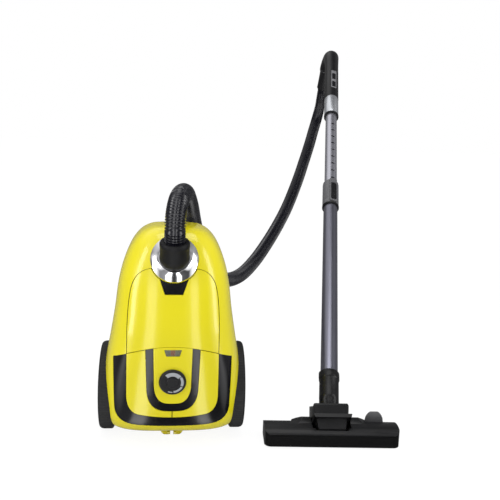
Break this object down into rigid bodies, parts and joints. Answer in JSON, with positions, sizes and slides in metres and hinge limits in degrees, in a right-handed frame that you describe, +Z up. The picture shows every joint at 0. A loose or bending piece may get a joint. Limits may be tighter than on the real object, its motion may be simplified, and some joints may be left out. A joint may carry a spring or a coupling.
{
  "type": "cylinder vacuum cleaner",
  "caption": "Bagged cylinder vacuum cleaner stood on its rear end, with ribbed hose, telescopic wand and floor nozzle.",
  "frame": {"origin": "middle of the rest face under the left rear foot, on the floor", "axes": "+Z up, the canister's lid faces -Y, its wheels' side faces +Y, +X to the right of the lid seen from -Y"},
  "size_m": [0.6915, 1.3709, 0.8772],
  "materials": {
    "yellow_gloss": "gloss",
    "black_gloss": "gloss",
    "black_plastic": "satin",
    "rubber": "matte",
    "hose_black": "satin",
    "chrome_ring": "polished",
    "steel": "satin",
    "silver_tube": "satin",
    "fan_metal": "satin",
    "grey_plastic": "satin",
    "red_plastic": "gloss",
    "clear_plastic": "gloss",
    "paper": "matte",
    "foam": "matte",
    "bristle": "matte",
    "felt": "matte"
  },
  "bodies": {
    "canister": {"base_shell": "black_plastic", "upper_shell": "yellow_gloss", "outer_trim": "black_gloss", "inner_trim": "black_gloss", "control_panel": "yellow_gloss", "indicator_window": "clear_plastic", "control_board": "grey_plastic", "inlet_ring": "chrome_ring", "inlet_socket": "black_plastic", "axle_left": "steel", "axle_right": "steel", "parking_bracket": "yellow_gloss", "rest_foot_left": "rubber", "rest_foot_right": "rubber", "cord_outlet": "black_plastic", "exhaust_grille": "black_plastic", "exhaust_filter": "paper", "bulkhead": "black_plastic", "motor_filter": "foam", "motor_housing": "grey_plastic", "motor_core": "steel", "drum_frame": "black_plastic", "dust_bag": "paper", "bag_holder": "grey_plastic", "hose": "hose_black", "handle": "black_plastic", "inner_tube": "silver_tube", "ferrule": "silver_tube", "ferrule_ring": "black_plastic"},
    "lid_panel": {"lid": "yellow_gloss", "lid_seal": "rubber"},
    "latch": {"lid_latch": "black_gloss"},
    "left_pedal": {"power_pedal": "yellow_gloss"},
    "right_pedal": {"rewind_pedal": "yellow_gloss"},
    "dial": {"power_dial": "black_plastic"},
    "flag": {"indicator_flag": "red_plastic"},
    "wheel_l": {"wheel_left": "rubber"},
    "wheel_r": {"wheel_right": "rubber"},
    "caster": {"caster_fork": "black_plastic"},
    "caster_roll": {"caster_wheel": "grey_plastic"},
    "inlet_elbow": {"swivel_elbow": "black_plastic"},
    "fan": {"motor_fan": "fan_metal"},
    "drum": {"cable_drum": "grey_plastic"},
    "outer_wand": {"outer_tube": "steel", "telescope_collar": "grey_plastic", "collar_ring": "black_plastic", "nozzle_neck": "black_plastic"},
    "button": {"release_button": "black_plastic"},
    "slider": {"bypass_slider": "black_plastic"},
    "handle_cuff": {"hose_cuff": "black_plastic"},
    "hood_body": {"hood": "black_plastic"},
    "nozzle": {"nozzle_housing": "black_plastic", "sole_plate": "black_plastic", "sole_glide": "felt"},
    "pedal": {"nozzle_pedal": "grey_plastic"},
    "brush_f": {"front_brush": "bristle"},
    "brush_r": {"rear_brush": "bristle"},
    "roll_l": {"roller_left": "grey_plastic"},
    "roll_r": {"roller_right": "grey_plastic"}
  },
  "joints": [
    {"name": "lid_hinge", "type": "hinge", "parent": "canister", "child": "lid_panel", "pos_m": [0.062, -0.1335, 0.212], "axis": [1, 0, 0], "range_deg": [0, 75]},
    {"name": "latch_press", "type": "slide", "parent": "lid_panel", "child": "latch", "axis": [0, 0.9292, -0.3697], "range_m": [0, 0.0015], "stiffness_N_per_m": 400},
    {"name": "power_pedal_hinge", "type": "hinge", "parent": "canister", "child": "left_pedal", "pos_m": [0.062, -0.124, 0.2], "axis": [1, 0, 0], "range_deg": [0, 3], "stiffness_Nm_per_rad": 2},
    {"name": "rewind_pedal_hinge", "type": "hinge", "parent": "canister", "child": "right_pedal", "pos_m": [0.062, -0.124, 0.2], "axis": [1, 0, 0], "range_deg": [0, 3], "stiffness_Nm_per_rad": 2},
    {"name": "dial_turn", "type": "hinge", "parent": "canister", "child": "dial", "pos_m": [0.062, -0.1275, 0.145], "axis": [0, 0.9925, 0.1219], "range_deg": [0, 270]},
    {"name": "flag_slide", "type": "slide", "parent": "canister", "child": "flag", "axis": [1, 0, 0], "range_m": [-0.012, 0.012]},
    {"name": "wheel_left_spin", "type": "hinge", "parent": "canister", "child": "wheel_l", "pos_m": [-0.068, 0.012, 0.0875], "axis": [1, 0, 0], "continuous": true},
    {"name": "wheel_right_spin", "type": "hinge", "parent": "canister", "child": "wheel_r", "pos_m": [0.192, 0.012, 0.0875], "axis": [1, 0, 0], "continuous": true},
    {"name": "caster_swivel", "type": "hinge", "parent": "canister", "child": "caster", "pos_m": [0.062, 0.058, 0.33], "axis": [0, -1, 0], "continuous": true},
    {"name": "caster_spin", "type": "hinge", "parent": "caster", "child": "caster_roll", "pos_m": [0.062, 0.081, 0.318], "axis": [1, 0, 0], "continuous": true},
    {"name": "inlet_swivel", "type": "hinge", "parent": "canister", "child": "inlet_elbow", "pos_m": [0.062, -0.092, 0.366], "axis": [0, -0.8949, 0.4462], "continuous": true, "deforming": ["hose"]},
    {"name": "fan_spin", "type": "hinge", "parent": "canister", "child": "fan", "pos_m": [0.11, 0.002, 0.12], "axis": [0, 0, 1], "continuous": true},
    {"name": "drum_spin", "type": "hinge", "parent": "canister", "child": "drum", "pos_m": [-0.016, 0.002, 0.095], "axis": [1, 0, 0], "continuous": true},
    {"name": "telescope_slide", "type": "slide", "parent": "canister", "child": "outer_wand", "axis": [0.1514, 0.8065, 0.5716], "range_m": [0, 0.315]},
    {"name": "button_slide", "type": "slide", "parent": "outer_wand", "child": "button", "axis": [0.1514, 0.8065, 0.5716], "range_m": [0, 0.004], "stiffness_N_per_m": 300},
    {"name": "bypass_slide", "type": "slide", "parent": "canister", "child": "slider", "axis": [-0.1514, -0.8065, -0.5716], "range_m": [0, 0.02]},
    {"name": "cuff_swivel", "type": "hinge", "parent": "canister", "child": "handle_cuff", "pos_m": [0.5862, 1.1422, 0.8195], "axis": [0, 0.5775, -0.8164], "continuous": true, "deforming": ["hose"]},
    {"name": "neck_swivel", "type": "hinge", "parent": "outer_wand", "child": "hood_body", "pos_m": [0.37683, -0.04582, 0.0595], "axis": [0.0248, 0.406, 0.9135], "range_deg": [-80, 80]},
    {"name": "hood_tilt", "type": "hinge", "parent": "hood_body", "child": "nozzle", "pos_m": [0.37549, -0.06778, 0.022], "axis": [0.9981, -0.061, 0], "range_deg": [-40, 15]},
    {"name": "pedal_press", "type": "slide", "parent": "nozzle", "child": "pedal", "axis": [0, 0, -1], "range_m": [0, 0.006]},
    {"name": "front_brush_drop", "type": "slide", "parent": "nozzle", "child": "brush_f", "axis": [0, 0, -1], "range_m": [0, 0.0028]},
    {"name": "rear_brush_drop", "type": "slide", "parent": "nozzle", "child": "brush_r", "axis": [0, 0, -1], "range_m": [0, 0.0028]},
    {"name": "roller_left_spin", "type": "hinge", "parent": "nozzle", "child": "roll_l", "pos_m": [0.28485, -0.0427, 0.007], "axis": [0.9981, -0.061, 0], "continuous": true},
    {"name": "roller_right_spin", "type": "hinge", "parent": "nozzle", "child": "roll_r", "pos_m": [0.46851, -0.05393, 0.007], "axis": [0.9981, -0.061, 0], "continuous": true}
  ],
  "couplings": [
    {"joint": "front_brush_drop", "follows": "pedal_press", "ratio": 0.46667},
    {"joint": "rear_brush_drop", "follows": "pedal_press", "ratio": 0.46667}
  ]
}
